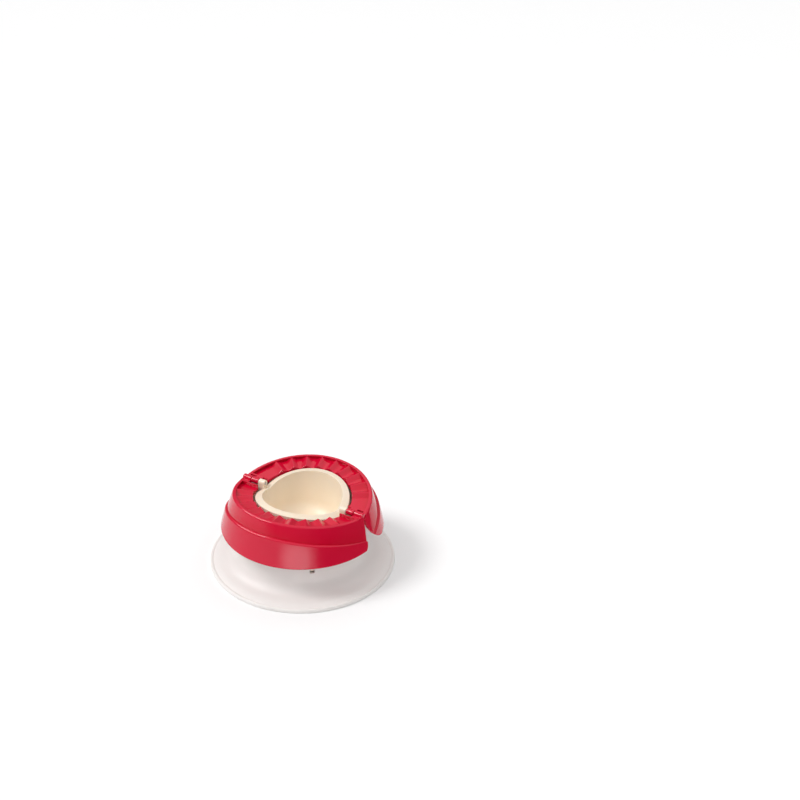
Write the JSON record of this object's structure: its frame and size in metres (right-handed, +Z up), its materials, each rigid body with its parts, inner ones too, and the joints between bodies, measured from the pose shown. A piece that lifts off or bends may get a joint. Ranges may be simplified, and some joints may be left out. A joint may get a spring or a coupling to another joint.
{
  "type": "filled pastry press",
  "caption": "Round tabletop press: a central well in a flanged stand, and two half-ring jaws that fold up over it to crimp dough into a half-moon.",
  "frame": {"origin": "centre of the flat face that the stand rests on", "axes": "+X along the hinge line to the right, -Y towards the front jaw, +Z up out of the well"},
  "size_m": [0.126, 0.126, 0.056],
  "materials": {
    "stand_white": "moulded white plastic, soft gloss",
    "housing_ivory": "moulded ivory plastic, soft gloss",
    "jaw_red": "moulded red plastic, gloss",
    "pin_steel": "drawn stainless steel"
  },
  "bodies": {
    "stand_body": {"stand": "stand_white", "well_housing": "housing_ivory", "left_hinge_pin": "pin_steel", "right_hinge_pin": "pin_steel"},
    "front_jaw_body": {"front_jaw": "jaw_red"},
    "back_jaw_body": {"back_jaw": "jaw_red"}
  },
  "joints": [
    {"name": "front_jaw_fold", "type": "hinge", "parent": "stand_body", "child": "front_jaw_body", "pos_m": [0, 0, 0.0493], "axis": [-1, 0, 0], "range_deg": [0, 81.4]},
    {"name": "back_jaw_fold", "type": "hinge", "parent": "stand_body", "child": "back_jaw_body", "pos_m": [0, 0, 0.0493], "axis": [1, 0, 0], "range_deg": [0, 81.4]}
  ]
}
